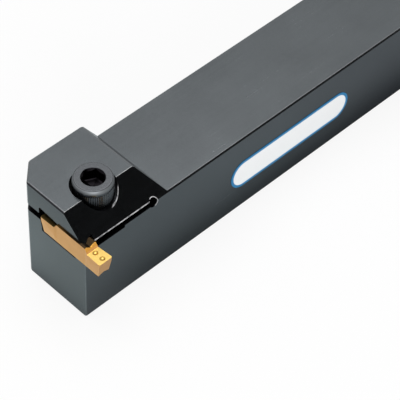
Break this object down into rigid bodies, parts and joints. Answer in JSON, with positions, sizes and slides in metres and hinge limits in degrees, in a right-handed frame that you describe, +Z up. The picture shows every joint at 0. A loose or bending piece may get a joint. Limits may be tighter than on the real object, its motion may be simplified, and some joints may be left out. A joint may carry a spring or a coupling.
{
  "type": "turning tool holder",
  "caption": "Square-shank lathe tool holder: a raised head with a slotted jaw, closed by a socket screw, grips a carbide grooving insert across its end.",
  "frame": {"origin": "middle of the shank's base, halfway along the tool and halfway across the shank", "axes": "+X along the shank from the cutting head to the rear end, -Y towards the cutting side, where the insert stands out, +Z up from the base"},
  "size_m": [0.1507, 0.0309, 0.0343],
  "materials": {
    "holder_steel": "black oxide, satin",
    "insert_coating": "gold nitride coating, satin",
    "screw_steel": "black oxide, oiled",
    "label_film": "white film with a blue edge band"
  },
  "bodies": {
    "holder": {"holder_body": "holder_steel", "grooving_insert": "insert_coating", "side_label": "label_film"},
    "screw": {"clamp_screw": "screw_steel"}
  },
  "joints": [
    {"name": "clamp_screw_turn", "type": "hinge", "parent": "holder", "child": "screw", "pos_m": [-0.06395, -0.0034, 0.0283], "axis": [0, 0, 1], "range_deg": [0, 720]}
  ]
}
